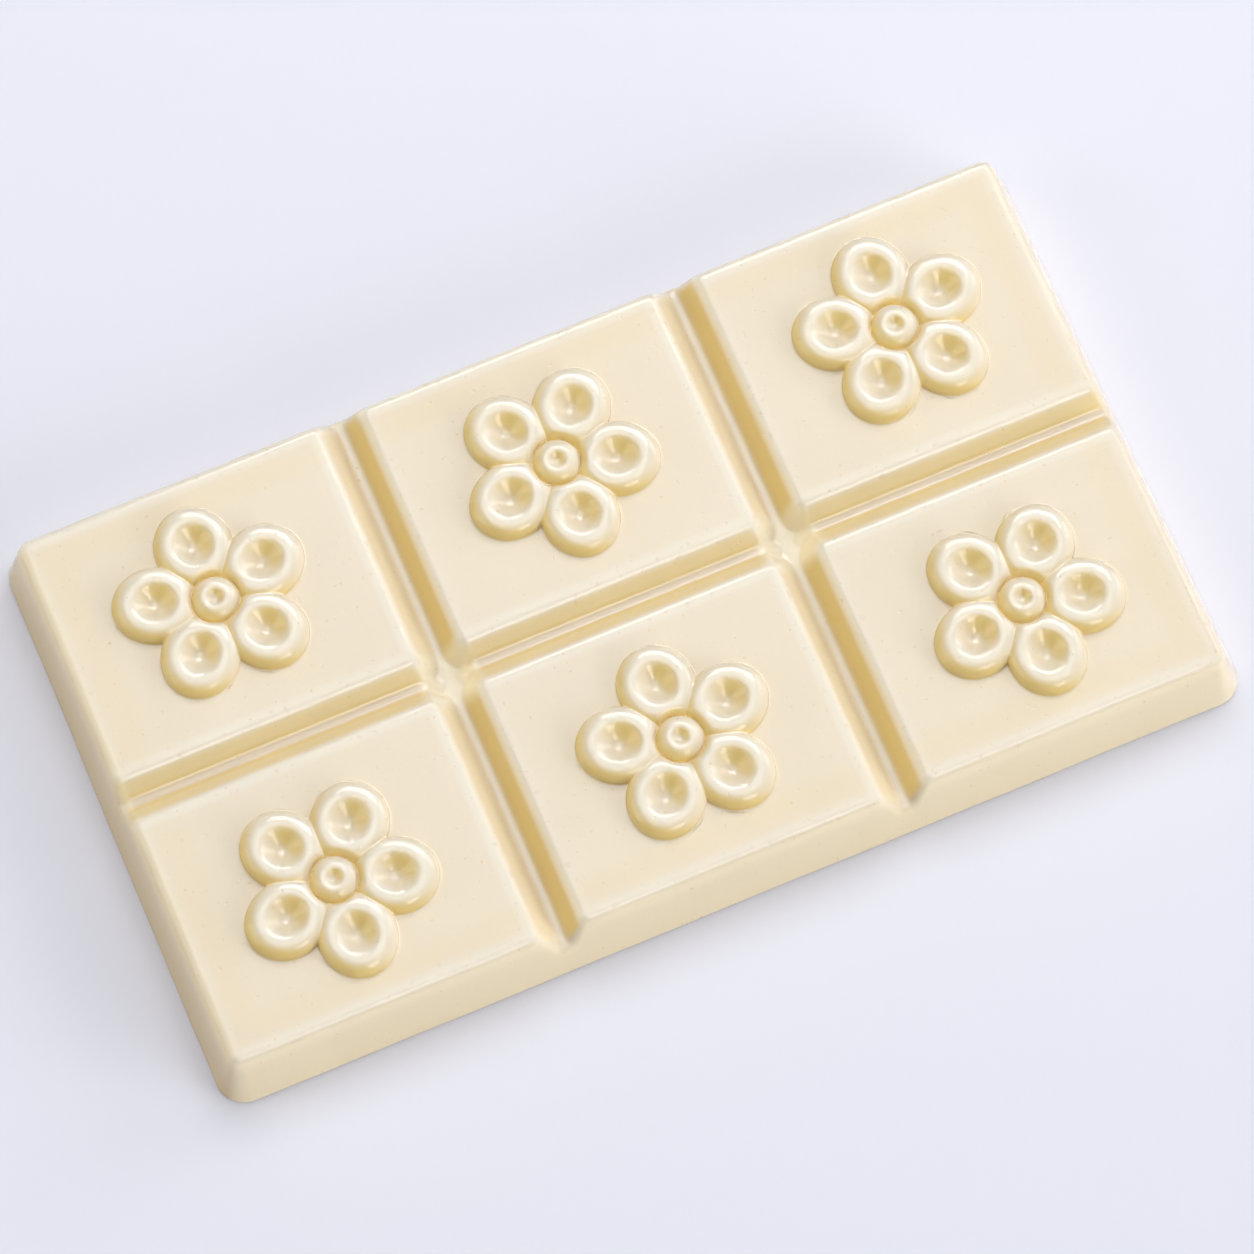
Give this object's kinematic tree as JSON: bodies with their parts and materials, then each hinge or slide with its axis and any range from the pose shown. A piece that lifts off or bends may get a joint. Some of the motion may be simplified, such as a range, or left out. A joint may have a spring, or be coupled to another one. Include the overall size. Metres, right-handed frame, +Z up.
{
  "type": "white chocolate bar",
  "caption": "Moulded white chocolate bar with drafted sides, snap grooves between its blocks and a raised blossom on each block.",
  "frame": {"origin": "middle of the flat underside", "axes": "+X along the bar's length, +Y across it, +Z up out of the moulded face"},
  "size_m": [0.1038, 0.059, 0.0093],
  "materials": {
    "white_chocolate": "satin-gloss moulded white chocolate, creamy and slightly translucent"
  },
  "bodies": {
    "root": {"chocolate_bar": "white_chocolate"}
  },
  "joints": []
}
